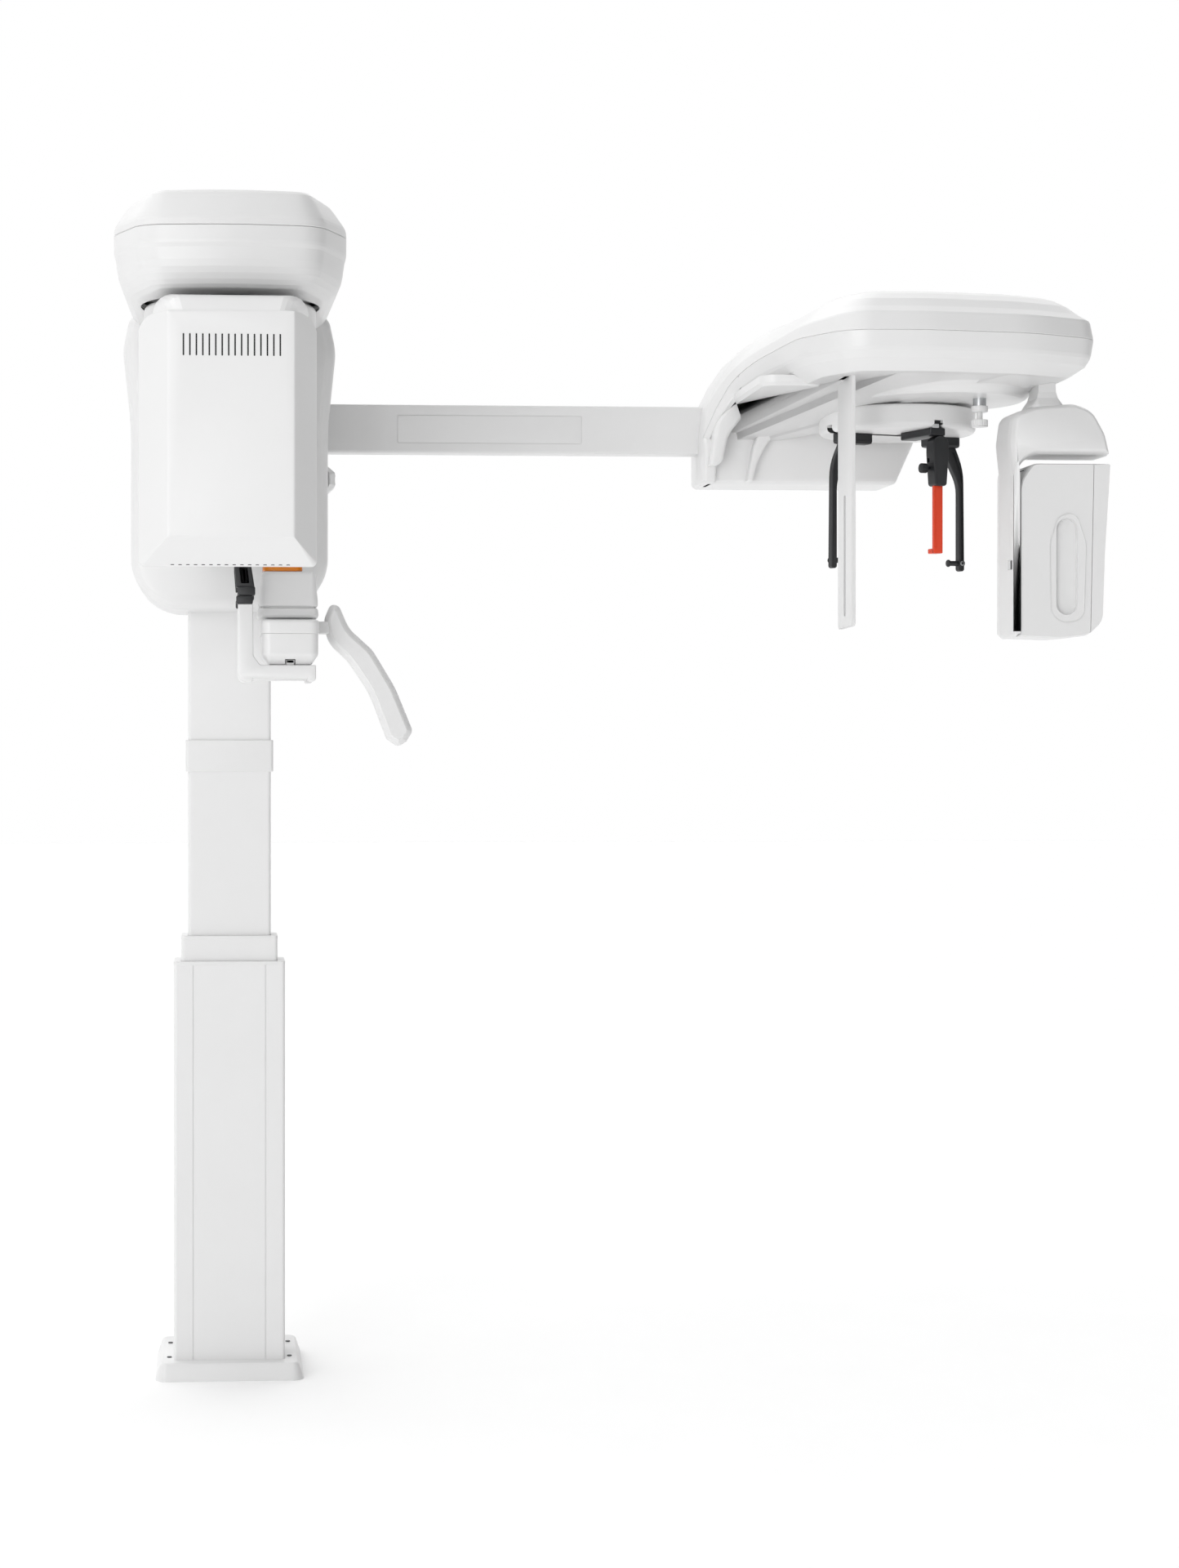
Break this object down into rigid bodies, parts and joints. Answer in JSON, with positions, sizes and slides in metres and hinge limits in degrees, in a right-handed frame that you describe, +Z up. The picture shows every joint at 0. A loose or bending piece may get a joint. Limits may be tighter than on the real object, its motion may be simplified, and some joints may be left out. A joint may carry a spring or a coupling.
{
  "type": "panoramic xray machine",
  "caption": "Upright dental panoramic x-ray machine on a telescopic column, with a turning x-ray arm under a canopy and a side arm that carries a head holder and a scanning sensor.",
  "frame": {"origin": "centre of the floor bolt pattern, on the floor", "axes": "+X along the side arm, +Y towards the wall behind the machine, +Z up"},
  "size_m": [1.767, 1.0475, 2.138],
  "materials": {
    "white_shell": "satin moulded plastic",
    "column_paint": "white powder coat on an extruded profile",
    "arm_paint": "white powder coat",
    "steel": "plain steel",
    "dark_steel": "dark screws",
    "steel_box": "sheet metal box",
    "cast_part": "machined block",
    "aluminium": "machined",
    "grey_plastic": "satin",
    "dark_plastic": "fine grain",
    "black_rubber": "matt",
    "amber_plastic": "translucent amber",
    "red_plastic": "satin",
    "tube_glass": "clear glass"
  },
  "bodies": {
    "floor_stand": {"base_plate": "steel", "base_cover": "white_shell", "base_screws": "dark_steel", "lower_column": "column_paint", "wall_bracket": "steel", "lift_screw": "steel", "lower_glides": "grey_plastic"},
    "middle_stage": {"middle_column": "column_paint", "middle_glides": "grey_plastic"},
    "carriage": {"inner_column": "column_paint", "column_band": "white_shell", "lift_drive": "cast_part", "carriage_frame": "aluminium", "carriage_front_cover": "white_shell", "carriage_rear_cover": "white_shell", "control_pod": "white_shell", "power_supply": "steel_box", "canopy_beam": "aluminium", "canopy_lower_cover": "white_shell", "canopy_top_cover": "white_shell", "bearing_ring": "aluminium", "rotation_motor": "aluminium", "drive_belt": "black_rubber", "ceph_arm": "arm_paint", "patient_arm": "arm_paint", "chin_housing": "white_shell", "chin_block": "white_shell", "chin_cup": "amber_plastic", "patient_handle": "white_shell", "ceph_frame": "aluminium", "ceph_rear_web": "white_shell", "ceph_lower_cover": "white_shell", "ceph_top_cover": "white_shell"},
    "rotor": {"rotor_hub": "aluminium", "rotor_beam": "aluminium", "rotor_cover": "white_shell", "tubehead_cover": "white_shell", "tubehead_back_cover": "white_shell", "generator_tank": "aluminium", "xray_tube": "tube_glass", "primary_collimator": "aluminium", "sensor_cover": "white_shell", "sensor_panel": "dark_plastic"},
    "pinion": {"drive_pulley": "aluminium"},
    "rocker": {"height_rocker": "grey_plastic"},
    "temple_front": {"temple_arm_front": "white_shell", "temple_post_front": "dark_plastic"},
    "temple_back": {"temple_arm_back": "white_shell", "temple_post_back": "dark_plastic"},
    "sensor_carriage": {"ceph_sensor_hood": "white_shell", "ceph_cassette": "white_shell", "ceph_detector": "dark_plastic"},
    "ray_plate": {"collimator_plate": "arm_paint"},
    "head_holder": {"cephalostat_disc": "white_shell"},
    "ear_left": {"ear_arm_left": "dark_plastic"},
    "ear_right": {"ear_arm_right": "dark_plastic"},
    "nasion_slide": {"nasion_body": "dark_plastic"},
    "nasion_rod": {"nasion_bar": "red_plastic"},
    "nasion_screw": {"nasion_knob": "dark_plastic"},
    "clamp_knob": {"disc_knob": "grey_plastic"}
  },
  "joints": [
    {"name": "middle_lift", "type": "slide", "parent": "floor_stand", "child": "middle_stage", "axis": [0, 0, 1], "range_m": [-0.047, 0.25]},
    {"name": "carriage_lift", "type": "slide", "parent": "middle_stage", "child": "carriage", "axis": [0, 0, 1], "range_m": [-0.31, 0]},
    {"name": "rotor_turn", "type": "hinge", "parent": "carriage", "child": "rotor", "pos_m": [0, -0.45, 1.95], "axis": [0, 0, 1], "range_deg": [-110, 110]},
    {"name": "pinion_turn", "type": "hinge", "parent": "carriage", "child": "pinion", "pos_m": [0, -0.25, 2], "axis": [0, 0, 1], "range_deg": [-470, 470]},
    {"name": "height_rock", "type": "hinge", "parent": "carriage", "child": "rocker", "pos_m": [0.1945, -0.11, 1.698], "axis": [0, 1, 0], "range_deg": [-6, 6], "stiffness_Nm_per_rad": 0.3},
    {"name": "temple_front_slide", "type": "slide", "parent": "carriage", "child": "temple_front", "axis": [0, 1, 0], "range_m": [-0.02, 0.015]},
    {"name": "temple_back_slide", "type": "slide", "parent": "carriage", "child": "temple_back", "axis": [0, -1, 0], "range_m": [-0.02, 0.015]},
    {"name": "sensor_scan", "type": "slide", "parent": "carriage", "child": "sensor_carriage", "axis": [0, 1, 0], "range_m": [0, 0.264]},
    {"name": "ray_plate_scan", "type": "slide", "parent": "carriage", "child": "ray_plate", "axis": [0, 1, 0], "range_m": [0, 0.22]},
    {"name": "holder_turn", "type": "hinge", "parent": "carriage", "child": "head_holder", "pos_m": [1.25, -0.23, 1.8], "axis": [0, 0, 1], "range_deg": [-108, 72]},
    {"name": "ear_right_slide", "type": "slide", "parent": "head_holder", "child": "ear_right", "axis": [-0.9511, -0.309, 0], "range_m": [0, 0.04]},
    {"name": "ear_left_slide", "type": "slide", "parent": "head_holder", "child": "ear_left", "axis": [0.9511, 0.309, 0], "range_m": [0, 0.04]},
    {"name": "nasion_slide_in", "type": "slide", "parent": "head_holder", "child": "nasion_slide", "axis": [-0.309, 0.9511, 0], "range_m": [0, 0.02]},
    {"name": "nasion_height", "type": "slide", "parent": "nasion_slide", "child": "nasion_rod", "axis": [0, 0, 1], "range_m": [-0.03, 0.03]},
    {"name": "nasion_knob_turn", "type": "hinge", "parent": "nasion_slide", "child": "nasion_screw", "pos_m": [1.27408, -0.35361, 1.705], "axis": [0.9511, 0.309, 0], "range_deg": [-90, 90]},
    {"name": "disc_knob_turn", "type": "hinge", "parent": "carriage", "child": "clamp_knob", "pos_m": [1.362, -0.4, 1.79], "axis": [0, 0, 1], "range_deg": [-90, 90]}
  ],
  "couplings": [
    {"joint": "pinion_turn", "follows": "rotor_turn", "ratio": 4.25},
    {"joint": "temple_front_slide", "follows": "temple_back_slide", "ratio": 1},
    {"joint": "ray_plate_scan", "follows": "sensor_scan", "ratio": 0.8333},
    {"joint": "ear_left_slide", "follows": "ear_right_slide", "ratio": 1}
  ]
}
